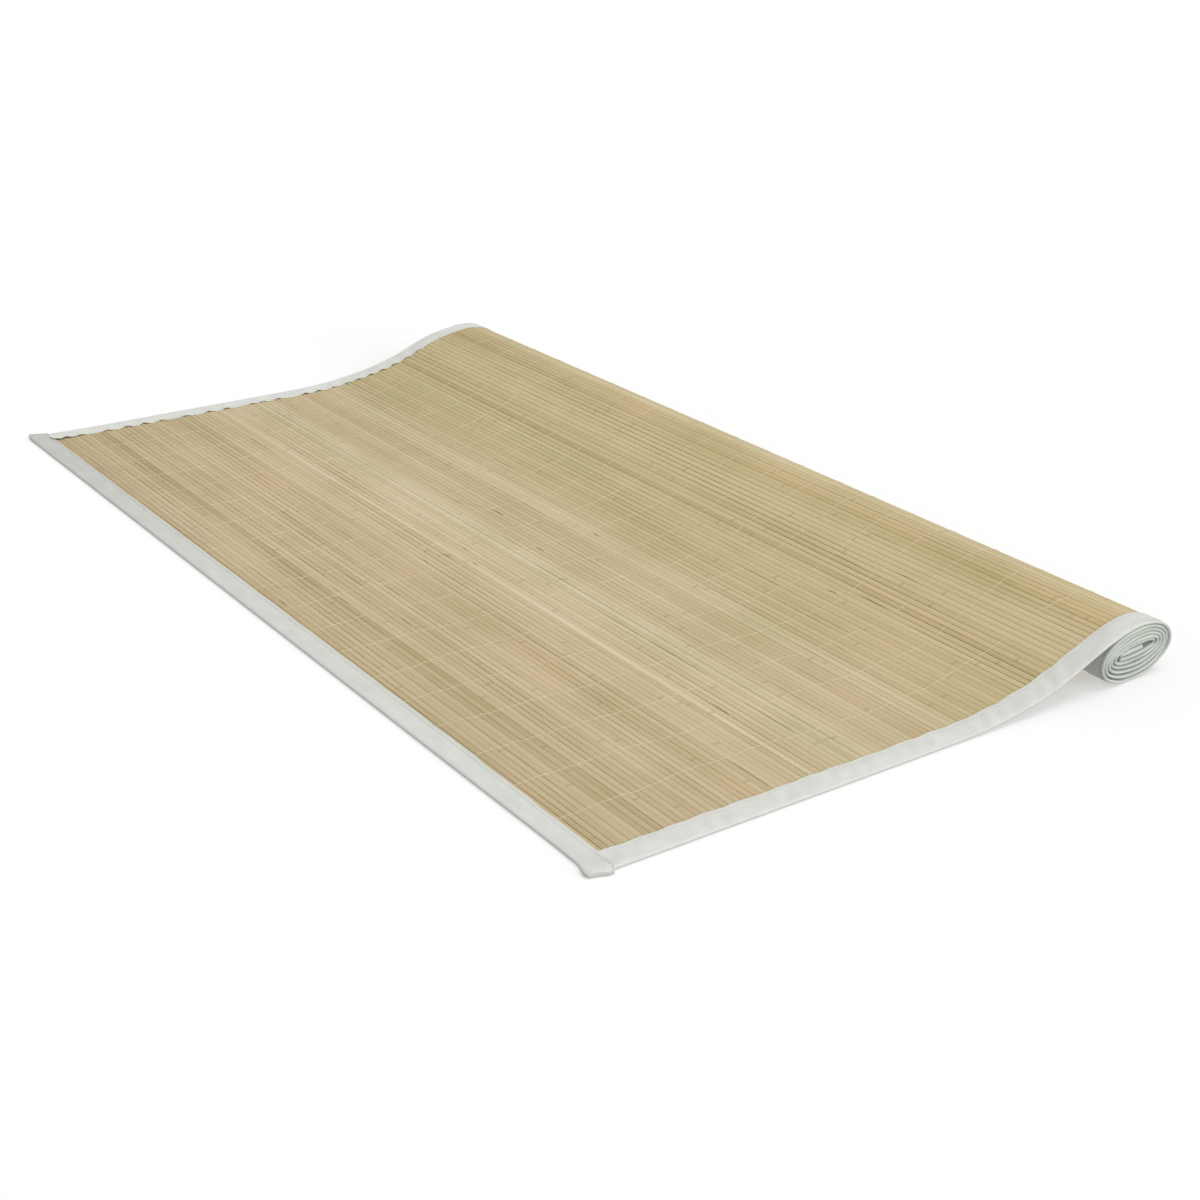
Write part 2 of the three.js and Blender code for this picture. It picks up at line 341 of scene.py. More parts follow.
# The mat's colour drifts along the run, in metres, and towards its far side. Over the rise towards the roll
# the drift is partly painted shade
RUN_SHADES = [
    (0.02, (246, 246, 246)),
    (0.09, (250, 250, 250)),
    (0.18, (254, 254, 254)),
    (0.3, (250, 250, 249)),
    (0.4, (249, 249, 236)),
    (0.5, (252, 252, 238)),
    (0.56, (255, 255, 250)),
]
FAR_SHADE = (247, 246, 243)
FAR_FROM = -0.15
FAR_TO = -0.45
FAR_PART = 0.8

# A bamboo joint crosses a slat every 340 mm or so, at its own place on each one. Its core and its edge are
# shares of that distance
JOINTS_PER_METRE = 2.9
JOINT_STRAY = 7.3
JOINT_CORE = 0.002
JOINT_EDGE = 0.006
JOINT_SHADE = (150, 122, 78)
JOINT_PART = 0.32

# Small brown specks, one in each chosen cell: cells in a metre, and sizes as shares of a cell
SPECK_CELLS = (38, 75, 1)
SPECK_CHOICE = (0.975, 0.98)
SPECK_CORE = 0.03
SPECK_EDGE = 0.1
SPECK_SHADE = (96, 70, 40)
SPECK_PART = 0.6

# Relief and gloss of the bamboo
FIBRE_RELIEF = 1.5
JOINT_RELIEF = 1.2
BAMBOO_BUMP = 0.35
BAMBOO_BUMP_DEPTH = 0.00012
BAMBOO_ROUGHNESS = (0.44, 0.58)


def bamboo_material():
    """Split bamboo: a shade for each slat, fine fibres along it, soft stains, joints and small specks."""
    shader = Shader("bamboo", roughness=0.5)
    at = shader.attribute("place")
    tone, hue, seed = shader.node("SeparateXYZ", {0: shader.attribute("tint")}).outputs
    noise = {name: shader.noise(at, row["scale"], row["detail"]) for name, row in BAMBOO_NOISE.items()}
    shade = tone
    for name, row in BAMBOO_NOISE.items():
        shade = shader.math("ADD", shade, shader.centred(noise[name], row["part"]))
    base = shader.ramp(shade, BAMBOO_SHADES)
    warmth = shader.math("ADD", hue, shader.centred(noise["cloud"], CLOUD_IN_HUE))
    warm = shader.spread(warmth, WARM_FROM, 1.0, 0, HUE_PART)
    green = shader.spread(warmth, GREEN_FROM, 0.0, 0, HUE_PART)
    base = shader.mixed(warm, base, colour(*WARM_SHADE))
    base = shader.mixed(green, base, colour(*GREEN_SHADE))

    across, run, _ = shader.node("SeparateXYZ", {0: at}).outputs
    # Partly painted shade: the slats on the rise to the roll come out darker and yellower
    base = shader.mixed(1.0, base, shader.ramp(run, RUN_SHADES), "MULTIPLY")
    far_side = shader.spread(across, FAR_FROM, FAR_TO, 0, FAR_PART)
    base = shader.mixed(far_side, base, shader.mixed(1.0, base, colour(*FAR_SHADE), "MULTIPLY"))

    stray = shader.math("MULTIPLY", seed, JOINT_STRAY)
    phase = shader.math("ADD", shader.math("MULTIPLY", across, JOINTS_PER_METRE), stray)
    off = shader.math("ABSOLUTE", shader.math("SUBTRACT", shader.math("FRACT", phase), 0.5))
    joint = shader.spread(off, JOINT_CORE, JOINT_EDGE, 1, 0)
    base = shader.mixed(shader.math("MULTIPLY", joint, JOINT_PART), base, colour(*JOINT_SHADE))

    scaled = shader.node("VectorMath", {0: at, 1: SPECK_CELLS}, operation="MULTIPLY").outputs[0]
    cells = shader.node("TexVoronoi", {"Vector": scaled, "Scale": 1.0})
    chance = shader.node("SeparateColor", {0: cells.outputs["Color"]}).outputs[0]
    chosen = shader.spread(chance, *SPECK_CHOICE, 0, 1)
    spot = shader.spread(cells.outputs["Distance"], SPECK_CORE, SPECK_EDGE, SPECK_PART, 0)
    base = shader.mixed(shader.math("MULTIPLY", chosen, spot), base, colour(*SPECK_SHADE))
    shader.paint(base)

    grain = shader.math("ADD", noise["fine"], shader.math("MULTIPLY", noise["fibres"], FIBRE_RELIEF))
    height = shader.math("ADD", grain, shader.math("MULTIPLY", joint, JOINT_RELIEF))
    shader.relief(height, BAMBOO_BUMP, BAMBOO_BUMP_DEPTH)
    gloss = shader.spread(noise["fibres"], 0.3, 0.7, *BAMBOO_ROUGHNESS)
    shader.tree.links.new(gloss, shader.surface.inputs["Roughness"])
    return shader.material


# Cotton: scales of its uneven yarns and of its mottled colour, their parts in it, and how much lighter and
# darker it gets, on screen
SLUB_SCALE = (1500, 260, 1)
MOTTLE_SCALE = (40, 90, 1)
SLUB_PART = 0.4
MOTTLE_PART = 0.6
LIGHTER_BY = 7
DARKER_BY = 9

# The hollows between the yarns, darkened as painted shade, and the cotton's relief
HOLLOW_DARKER_BY = 45
HOLLOW_FROM = 0.2
HOLLOW_PART = 0.12
SLUB_RELIEF = 1.2
COTTON_BUMP = 0.5


def cotton_material(name, shade, yarn, depth):
    """Plain-woven cotton: two crossing sets of yarns, softly uneven. yarn and depth are in metres."""
    shader = Shader(name, roughness=0.9, sheen=0.15)
    at = shader.attribute("place")
    along, across, _ = shader.node("SeparateXYZ", {0: at}).outputs
    turns = 2 * math.pi / yarn
    warp = shader.math("SINE", shader.math("MULTIPLY", along, turns))
    weft = shader.math("SINE", shader.math("MULTIPLY", across, turns))
    weave = shader.math("MULTIPLY", warp, weft)
    slub = shader.noise(at, SLUB_SCALE, 2)
    mottle = shader.noise(at, MOTTLE_SCALE, 3)
    lighter = colour(*(min(value + LIGHTER_BY, 255) for value in shade))
    darker = colour(*(value - DARKER_BY for value in shade))
    clouds = shader.math("MULTIPLY", mottle, MOTTLE_PART)
    factor = shader.math("ADD", clouds, shader.math("MULTIPLY", slub, SLUB_PART))
    base = shader.mixed(shader.spread(factor, 0.3, 0.7, 0, 1), darker, lighter)
    # Painted shade in the hollows between the yarns, where the weave's relief is lowest
    hollow = shader.spread(weave, -1.0, HOLLOW_FROM, HOLLOW_PART, 0)
    base = shader.mixed(hollow, base, colour(*(value - HOLLOW_DARKER_BY for value in shade)))
    # The tint holds the end tape's tone along it, and the painted shade on the wound folds and in the
    # crevices
    base = shader.mixed(1.0, base, shader.attribute("tint"), "MULTIPLY")
    shader.paint(base)
    height = shader.math("ADD", weave, shader.math("MULTIPLY", slub, SLUB_RELIEF))
    shader.relief(height, COTTON_BUMP, depth)
    return shader.material


PLAIN = (1, 1, 1)
BAMBOO = bamboo_material()
COTTON = cotton_material("cotton", (219, 220, 213), yarn=0.0009, depth=0.00012)
THREAD = cotton_material("thread", (220, 206, 171), yarn=0.0006, depth=0.00006)
SEWING = cotton_material("sewing_thread", (200, 201, 197), yarn=0.0005, depth=0.00004)


# Slats

# Section of a slat: the edge that a point belongs to or 0 for the middle, its inset from that edge, and its
# height as a share of the thickness
SLAT_SECTION = [
    {"side": -1, "inset": 0.3, "height": 0.0},
    {"side": 1, "inset": 0.3, "height": 0.0},
    {"side": 1, "inset": 0.0, "height": 0.17},
    {"side": 1, "inset": 0.0, "height": 0.77},
    {"side": 1, "inset": 0.2, "height": 0.91},
    {"side": 1, "inset": 0.75, "height": 0.99},
    {"side": 0, "inset": 0.0, "height": 1.035},
    {"side": -1, "inset": 0.75, "height": 0.99},
    {"side": -1, "inset": 0.2, "height": 0.91},
    {"side": -1, "inset": 0.0, "height": 0.77},
    {"side": -1, "inset": 0.0, "height": 0.17},
]

# Places where two slats stand apart: x of both ends, the number of the slat after it, and how far it opens
OPEN_GAPS = [
    {"from": -77, "to": -11, "gap": 12, "open": 0.5},
    {"from": -18, "to": 26, "gap": 15, "open": 0.6},
    {"from": 24, "to": 53, "gap": 18, "open": 0.6},
    {"from": 2, "to": 22, "gap": 11, "open": 0.5},
    {"from": 4, "to": 20, "gap": 2, "open": 0.7},
    {"from": 25, "to": 46, "gap": 10, "open": 0.5},
    {"from": 91, "to": 110, "gap": 14, "open": 0.6},
    {"from": 353, "to": 376, "gap": 35, "open": 0.9},
    {"from": 359, "to": 425, "gap": 39, "open": 0.75},
    {"from": 428, "to": 477, "gap": 27, "open": 0.75},
    {"from": 239, "to": 280, "gap": 40, "open": 0.6},
    {"from": 260, "to": 271, "gap": 71, "open": 1.6},
    {"from": 289, "to": 321, "gap": 73, "open": 0.7},
    {"from": 223, "to": 261, "gap": 78, "open": 0.6},
    {"from": 291, "to": 317, "gap": 80, "open": 0.6},
    {"from": -72, "to": -57, "gap": 49, "open": 1.8},
    {"from": 27, "to": 38, "gap": 57, "open": 1.2},
    {"from": -7, "to": 5, "gap": 32, "open": 1.0},
    {"from": -5, "to": 6, "gap": 28, "open": 0.9},
    {"from": -12, "to": 0, "gap": 36, "open": 1.0},
    {"from": 25, "to": 37, "gap": 46, "open": 1.0},
    {"from": 22, "to": 33, "gap": 34, "open": 1.1},
    {"from": -380, "to": 470, "gap": 1, "open": 0.3},
]

# Small openings elsewhere: their number, how far from the mat's middle they lie, and the ranges of their
# length and of how far they open
CHANCE_GAPS = 110
CHANCE_REACH = 480
CHANCE_LENGTH = (8, 70)
CHANCE_OPEN = (0.15, 0.45)

# A gap eases open over a share of its length, up to a limit, and begins a little outside it
EASE_SHARE = 0.3
EASE_LIMIT = 12
EASE_OUTSIDE = 0.3

# Run of the first slat's edge. The last one stops short of the inner end's tape
FIRST_SLAT = 17.2
SLATS_UNDER_TAPE = 3
VISIBLE_SLATS = 134
LAST_SLAT_ROOM = 2

# Sections along a slat, and the extra ones as shares of an open gap's length
SLAT_STATIONS = 14
GAP_STATIONS = (-0.1, 0.05, 0.16, 0.3, 0.7, 0.84, 0.95, 1.1)

# How slats differ: shift along the mat, thickness, and waves of their edges and of their top, each with its
# range of periods and its size
SLAT_SHIFT = 0.05
SLAT_UNEVEN = 0.035
EDGE_WANDER = [(500, 1100, 0.02), (170, 400, 0.015)]
SLAT_BOW = (600, 1400, 0.04)

# Half the length over which a slat lies straight across the sheet's curve
SLAT_CHORD = 2.6

# Shade and hue, from 0 to 1, wander from slat to slat and are pulled back to the middle. Each slat also has
# a difference of its own
MIDDLE = 0.5
SHADE_WALK = {"pull": 0.25, "step": 0.075, "own": 0.06}
HUE_WALK = {"pull": 0.3, "step": 0.05, "own": 0.06}

# The slats near the free end are a little darker, up to where it fades
EDGE_SHADE = 0.14
EDGE_FADE = (20, 170)

# Keeps the noise on one slat apart from that on the next
NOISE_STEP = 0.37


def slat_middle(number):
    """Run of a slat's middle. Those with a negative number are inside the end tape."""
    return FIRST_SLAT + (number + 0.5) * SLAT_PITCH


def drift(low, high, size):
    """A smooth wander with a random period and phase, as a function of x."""
    period = rng.uniform(low, high)
    phase = rng.uniform(0, 2 * math.pi)
    return lambda x: size * np.sin(2 * math.pi * x / period + phase)


def opening(x, gaps):
    """How far a slat's first edge draws back along it."""
    total = np.zeros_like(x)
    for gap in gaps:
        ease = min(EASE_SHARE * (gap["to"] - gap["from"]), EASE_LIMIT)
        outside = ease * EASE_OUTSIDE
        rise = smoothstep(x, gap["from"] - outside, gap["from"] + ease)
        fall = smoothstep(x, gap["to"] - ease, gap["to"] + outside)
        total = total + gap["open"] * rise * (1 - fall)
    return total


# Waves that make the slats lie close together in some patches and apart in others: period along the slats
# and along the mat, and phase
PATCH_WAVES = 9
PATCHES = [
    (rng.uniform(250, 900), rng.uniform(26, 140), rng.uniform(0, 2 * math.pi))
    for _ in range(PATCH_WAVES)
]
CLOSE_GAP = 0.05
LOOSE_GAP = 0.36
LOOSE_RANGE = (-0.8, 1.5)
LOOSE_POWER = 1.5


def spacing(x, run):
    """Gap between a slat and the next one."""
    wave = sum(np.sin(2 * math.pi * (x / long + run / short) + phase) for long, short, phase in PATCHES)
    loose = smoothstep(wave / math.sqrt(PATCH_WAVES), *LOOSE_RANGE) ** LOOSE_POWER
    return CLOSE_GAP + LOOSE_GAP * loose


def slat_stations(gaps):
    """x of a slat's sections: evenly spaced, and closer where a gap opens."""
    x = set(np.linspace(-SLAT_REACH, SLAT_REACH, SLAT_STATIONS).tolist())
    for gap in gaps:
        length = gap["to"] - gap["from"]
        x.update(gap["from"] + length * share for share in GAP_STATIONS)
    return np.array(sorted(value for value in x if abs(value) <= SLAT_REACH))


def slat_frames(run):
    """Middle of a slat's underside and its direction at each side of the mat, straight across the curve."""
    frames = {}
    for side in ("far", "near"):
        steps = (-SLAT_CHORD, 0, SLAT_CHORD)
        low, middle, high = (np.array(on_line(side, run + step)[:2]) for step in steps)
        direction = (high - low) / np.linalg.norm(high - low)
        frames[side] = ((low + high) / 4 + middle / 2, direction)
    return frames


def slat_rings(run, x, gaps):
    """Rings of points along one slat, and the run of each point."""
    frames = slat_frames(run)
    shift = np.clip(rng.normal(0, SLAT_SHIFT), -2 * SLAT_SHIFT, 2 * SLAT_SHIFT)
    wander = [drift(*wave) for wave in EDGE_WANDER]
    bow = drift(*SLAT_BOW)
    first = spacing(x, run - SLAT_PITCH / 2) / 2 - SLAT_PITCH / 2 + opening(x, gaps)
    last = SLAT_PITCH / 2 - spacing(x, run + SLAT_PITCH / 2) / 2 + sum(edge(x) for edge in wander)
    first = first + max(shift, 0)
    last = last + min(shift, 0)
    thickness = SLAT_HIGH - SLAT_LOW + rng.normal(0, SLAT_UNEVEN)
    share = (x / MAT_WIDTH + 0.5)[:, None, None]
    rings = np.zeros((len(x), len(SLAT_SECTION), 3))
    rings[:, :, 0] = x[:, None]
    along = np.zeros(rings.shape[:2])
    up = np.zeros(rings.shape[:2])
    for k, point in enumerate(SLAT_SECTION):
        edges = {-1: first + point["inset"], 0: (first + last) / 2, 1: last - point["inset"]}
        along[:, k] = edges[point["side"]]
        up[:, k] = SLAT_LOW + thickness * point["height"] + bow(x) * (point["height"] > 0.5)
    (far_at, far_way), (near_at, near_way) = frames["far"], frames["near"]
    at = far_at + (near_at - far_at) * share
    way = far_way + (near_way - far_way) * share
    rings[:, :, 1] = at[..., 0] + way[..., 0] * along - way[..., 1] * up
    rings[:, :, 2] = at[..., 1] + way[..., 1] * along + way[..., 0] * up
    return rings, run + along


def chance_gaps():
    """Small openings here and there over the part of the mat that shows."""
    gaps = []
    for _ in range(CHANCE_GAPS):
        middle = rng.uniform(-CHANCE_REACH, CHANCE_REACH)
        length = rng.uniform(*CHANCE_LENGTH)
        gaps.append({
            "from": middle - length / 2,
            "to": middle + length / 2,
            "gap": int(rng.integers(1, VISIBLE_SLATS)),
            "open": rng.uniform(*CHANCE_OPEN),
        })
    return gaps


def slats():
    mesh = Mesh()
    gaps = OPEN_GAPS + chance_gaps()
    count = int((MAT_LENGTH - LAST_SLAT_ROOM - TAPE_WIDTH) / SLAT_PITCH)
    band = MIDDLE
    warmth = MIDDLE
    for number in range(-SLATS_UNDER_TAPE, count):
        band += SHADE_WALK["pull"] * (MIDDLE - band) + rng.normal(0, SHADE_WALK["step"])
        warmth += HUE_WALK["pull"] * (MIDDLE - warmth) + rng.normal(0, HUE_WALK["step"])
        run = slat_middle(number)
        darker = EDGE_SHADE * (1 - smoothstep(run, *EDGE_FADE))
        tone = band + rng.normal(0, SHADE_WALK["own"]) - darker
        hue = warmth + rng.normal(0, HUE_WALK["own"])
        own = [gap for gap in gaps if gap["gap"] == number]
        x = slat_stations(own)
        rings, runs = slat_rings(run, x, own)
        seed = rng.uniform(0, 1)
        depth = np.full(runs.shape, number * NOISE_STEP)
        places = np.stack([rings[..., 0] * METRES, runs * METRES, depth], axis=-1)
        mesh.tube(rings, places, (tone, hue, seed))
    return mesh.piece("slats", BAMBOO, sharp=30, node="slat_mat")


# Warp threads: in each row one lies over the slats and one under them, and they cross in the gaps
THREAD_ROWS = 18
FIRST_ROW = -430
ROW_PITCH = 50.4
THREAD_SECTION = [(-0.42, 0.0), (-0.22, 0.16), (0.22, 0.16), (0.42, 0.0), (0.0, -0.1)]

# A thread's way past one slat: distances from the slat's middle, and heights
OVER_PASS = [(-2.2, 2.39), (-0.9, 2.5), (0.9, 2.5), (2.2, 2.39), (2.75, 1.75)]
UNDER_PASS = [(-2.0, 0.3), (2.0, 0.3), (2.75, 1.0)]

# How many slats the threads pass: the upper ones end where a turn covers them, and the lower ones where the
# sheet's underside goes into the roll
SLATS_UNDER_THREAD = 128
SLATS_OVER_THREAD = 90

# Bends of a thread, each with its range of periods and its size, and the unevenness of its points
THREAD_BENDS = [(150, 260, 2.2), (60, 95, 1.0), (17, 29, 0.4)]
THREAD_UNEVEN = 0.12


def thread_row(mesh, middle, steps, count):
    """One thread across the first slats, past each of which it takes the same steps."""
    bends = [drift(*bend) for bend in THREAD_BENDS]
    runs = []
    heights = []
    for number in range(count):
        for along, height in steps:
            runs.append(slat_middle(number) + along)
            heights.append(height)
    runs = np.array(runs)
    x = middle + sum(bend(runs) for bend in bends) + rng.normal(0, THREAD_UNEVEN, len(runs))
    section = np.array(THREAD_SECTION)
    across = x[:, None] + section[:, 0]
    up = np.array(heights)[:, None] + section[:, 1]
    rings = place(across, runs[:, None], up)
    places = np.stack(np.broadcast_arrays(runs[:, None], across, middle), axis=-1) * METRES
    mesh.tube(rings, places, PLAIN)


def threads():
    mesh = Mesh()
    for row in range(THREAD_ROWS):
        middle = FIRST_ROW + row * ROW_PITCH
        thread_row(mesh, middle, OVER_PASS, SLATS_UNDER_THREAD)
        thread_row(mesh, middle, UNDER_PASS, SLATS_OVER_THREAD)
    return mesh.piece("threads", THREAD, sharp=75)


# Folded tape

# Top of the folded cloth, from its inner edge: distance from it, fixed or as a share of the width, the
# height over the tape's top, and how much of the edge's lift and of the swell it has
TAPE_FACE = [
    {"fixed": 0.0, "share": 0.0, "rise": -0.12, "lift": 1.0, "swell": 0.0},
    {"fixed": 0.8, "share": 0.0, "rise": 0.05, "lift": 0.97, "swell": 0.1},
    {"fixed": 2.2, "share": 0.0, "rise": 0.08, "lift": 0.8, "swell": 0.2},
    {"fixed": 3.2, "share": 0.0, "rise": 0.04, "lift": 0.6, "swell": 0.2},
    {"fixed": 4.3, "share": 0.0, "rise": 0.04, "lift": 0.55, "swell": 0.4},
    {"fixed": 0.0, "share": 0.36, "rise": 0.1, "lift": 0.35, "swell": 0.9},
    {"fixed": 0.0, "share": 0.55, "rise": 0.12, "lift": 0.2, "swell": 1.0},
    {"fixed": 0.0, "share": 0.74, "rise": 0.06, "lift": 0.1, "swell": 0.9},
    {"fixed": -2.9, "share": 1.0, "rise": -0.06, "lift": 0.0, "swell": 0.5},
]
FOLD_ANGLES = (62, 36, 12, -12, -36, -62)
FOLD_DEPTH = 2.4
TAPE_BACK = [
    {"fixed": -2.9, "share": 1.0},
    {"fixed": 0.0, "share": 0.7},
    {"fixed": 0.0, "share": 0.4},
    {"fixed": 0.5, "share": 0.0},
]
STITCH_POINT = 3

# How deep the seam pulls each tape in
SEAM_DEPTH = {"near": 0.16, "far": 0.22, "end": 0.6}

# How far the end tape's inner edge stands up beside the slats
END_LIP = 0.25


def tape_outline(width, base, top, lift, swell, seam):
    """Outer outline of the folded cloth, for arrays of sections: distances from its inner edge and heights.
    swell gives a height at a share of the width, for each section."""
    across = []
    up = []
    scale = np.minimum(width / TAPE_WIDTH, 1)
    for index, point in enumerate(TAPE_FACE):
        distance = point["fixed"] * scale + point["share"] * width
        height = top + point["rise"] + lift * point["lift"] + point["swell"] * swell(distance / width)
        across.append(distance)
        up.append(height - seam if index == STITCH_POINT else height)
    middle = (top + base) / 2
    half = (top - base) / 2
    for angle in FOLD_ANGLES:
        turn = math.radians(angle)
        across.append(width - FOLD_DEPTH * scale * (1 - math.cos(turn)))
        up.append(middle + half * math.sin(turn))
    for point in TAPE_BACK:
        across.append(point["fixed"] * scale + point["share"] * width)
        up.append(base + 0 * width)
    return np.stack(across, axis=-1), np.stack(up, axis=-1)


def folded_band(across, up, width, base, top, closed):
    """Closed outline of cloth of even thickness. Where it is closed, its inside comes together."""
    way_across = np.gradient(across, axis=1)
    way_up = np.gradient(up, axis=1)
    size = np.hypot(way_across, way_up)
    inner_across = across + way_up / size * CLOTH
    inner_up = up - way_across / size * CLOTH
    limit = (width - FOLD_DEPTH * np.minimum(width / TAPE_WIDTH, 1))[:, None]
    meet_across = np.minimum(across, limit)
    meet_up = ((top + base) / 2)[:, None]
    inner_across += (meet_across - inner_across) * closed[:, None]
    inner_up += (meet_up - inner_up) * closed[:, None]
    return np.hstack([across, inner_across[:, ::-1]]), np.hstack([up, inner_up[:, ::-1]])


# Side tapes: the inner edge bulges between notches. At these the cloth lifts a little, and it swells along
# its face. The tape starts at a run inside the end tape's back
PUCKERS = {
    "near": {"sign": 1, "depth": 1.6, "lift": 0.35, "swell": 0.55, "start": 16.4},
    "far": {"sign": -1, "depth": 2.5, "lift": 1.0, "swell": 0.42, "start": 17.6},
}

# Runs of the notches. Those of the near side are 29 mm apart, give or take up to 4 mm
NEAR_NOTCHES = [6 + 29 * k + 4 * math.sin(1.4 * k) for k in range(18)]
FAR_NOTCHES = [
    19, 31, 46, 75, 96, 115, 134, 161, 188, 208, 238, 251,
    269, 302, 318, 337, 354, 368, 384, 399, 415, 432, 448, 466,
]
NOTCHES = {"near": np.array(NEAR_NOTCHES), "far": np.array(FAR_NOTCHES, float)}

# Notches at least so far apart have a full bulge between them, the lift fades within a reach of each notch,
# and the tape's sections are a step apart
FULL_LOBE = 24
NOTCH_REACH = 4.2
SIDE_STEP = 2.2

# The puckers grow and shrink along the tape, and end where the sheet nears the roll
UNEVEN_SIZE = 0.25
UNEVEN_PERIOD = 97
PUCKERS_FADE = (440, 480)

# What is left of the swell and of the folds' own reach where they are weakest
LEAST_SHARE = 0.15

# Extra height over the inner end's hem and in the far corner, and the runs between which they change. The
# hem's runs are counted back from the mat's end
INNER_HEM = 1.3
HEM_RUNS = (22, 17)
CORNER_PUFF = 0.9
PUFF_RUNS = (24, 62)

# The tape's inside comes together over this length at the mat's end
CLOSED_LENGTH = 4

# Once wound, each fold gets its own reach and its painted shade tint, over these lengths after the join. Its
# own reach grows over the outer part of the width, and its painted shade over a strip before the fold
REACH_EASE = 60
TINT_EASE = 40
REACH_FROM_SHARE = 0.7
TINT_STRIP = (3, 1.5)

# Painted shade: a darker, greener tint on the folds that show at the roll's ends, which lie in shade
FOLD_SHADE_TINT = (0.945, 1.0, 0.975)

# Painted shade in the crevices between the turns: how dark it is, how far it lies behind the folds, and its
# reach
CREVICE_SHADE = 0.3
CREVICE_AT = 2.6
CREVICE_REACH = 1.1


def ripple(waves, skew):
    """Uneven waves along the tape that lean a little across it."""
    parts = [(rng.uniform(low, high), rng.uniform(0, 2 * math.pi), size) for low, high, size in waves]
    return lambda run, share: sum(
        size * np.sin(2 * math.pi * (run + skew * share) / period + phase) for period, phase, size in parts
    )


SIDE_WAVES = {
    side: ripple([(12, 15, 0.4), (18, 22, 0.5), (29, 35, 0.35)], skew)
    for side, skew in (("near", 7), ("far", 4))
}
FOLD_JITTER = {
    side: ripple([(31, 39, 0.22), (67, 83, 0.3), (140, 170, 0.25)], 0) for side in ("near", "far")
}


def pucker(side, run):
    """How far the edge bulges at each run, as a share, and how far the nearest notch is."""
    notches = NOTCHES[side]
    after = np.clip(np.searchsorted(notches, run), 1, len(notches) - 1)
    first, last = notches[after - 1], notches[after]
    share = np.clip((run - first) / (last - first), 0, 1)
    bulge = np.sin(math.pi * share) * np.minimum((last - first) / FULL_LOBE, 1)
    return bulge, np.minimum(np.abs(run - first), np.abs(last - run))


def side_sections(side, run):
    """Width, base, top and outline of a side tape at the runs."""
    style = PUCKERS[side]
    loose = 1 - smoothstep(run, *PUCKERS_FADE)
    bulge, distance = pucker(side, run)
    uneven = 1 + UNEVEN_SIZE * np.sin(2 * math.pi * run / UNEVEN_PERIOD + 1)
    width = TAPE_WIDTH + style["depth"] * bulge * uneven * loose
    hem_start, hem_end = (MAT_LENGTH - length for length in HEM_RUNS)
    top = TAPE_TOP + INNER_HEM * smoothstep(run, hem_start, hem_end)
    if side == "far":
        top = top + CORNER_PUFF * (1 - smoothstep(run, *PUFF_RUNS))
    lift = style["lift"] * np.exp(-(distance / NOTCH_REACH) ** 2) * uneven * loose
    amount = style["swell"] * (LEAST_SHARE + (1 - LEAST_SHARE) * loose)
    swell = lambda share: amount * SIDE_WAVES[side](run, share)
    base = np.zeros_like(run)
    across, up = tape_outline(width, base, top, lift, swell, SEAM_DEPTH[side])
    return width, base, top, across, up


def side_x(side, run, width, across):
    """x of points at distances from a side tape's inner edge. In the roll each fold has its own reach."""
    wound = smoothstep(run, JOIN_RUN, JOIN_RUN + REACH_EASE)
    reach = FOLD_JITTER[side](run, 0) * (LEAST_SHARE + (1 - LEAST_SHARE) * wound)
    share = smoothstep(across, REACH_FROM_SHARE * width[:, None], width[:, None])
    return PUCKERS[side]["sign"] * (MAT_WIDTH / 2 - width[:, None] + across + share * reach[:, None])


def side_tape(side):
    mesh = Mesh()
    start = PUCKERS[side]["start"]
    run = np.linspace(start, MAT_LENGTH, int((MAT_LENGTH - start) / SIDE_STEP))
    width, base, top, across, up = side_sections(side, run)
    closed = smoothstep(run, MAT_LENGTH - CLOSED_LENGTH, MAT_LENGTH)
    across, up = folded_band(across, up, width, base, top, closed)
    rings = place(side_x(side, run, width, across), run[:, None], up)
    places = np.stack(np.broadcast_arrays(run[:, None], across + up, 0.0), axis=-1) * METRES
    strip_start, strip_end = (width[:, None] - distance for distance in TINT_STRIP)
    # Painted shade on the roll's ends: the wound folds get a darker, greener tint
    fold = smoothstep(across, strip_start, strip_end)
    wound = smoothstep(run, JOIN_RUN, JOIN_RUN + TINT_EASE)
    tint = 1 + (fold * wound[:, None])[..., None] * (np.array(FOLD_SHADE_TINT) - 1)
    # Painted shade: the cloth darkens just behind each wound fold, in the crevice between two turns
    painted_crevice_shade = np.exp(-((across - width[:, None] + CREVICE_AT) / CREVICE_REACH) ** 2) * wound[:, None]
    tint = tint * (1 - CREVICE_SHADE * painted_crevice_shade[..., None])
    mesh.tube(rings, places, tint, strip_ends=True)
    return mesh.piece("tape_" + side, COTTON, sharp=80, node="binding_side_" + side)


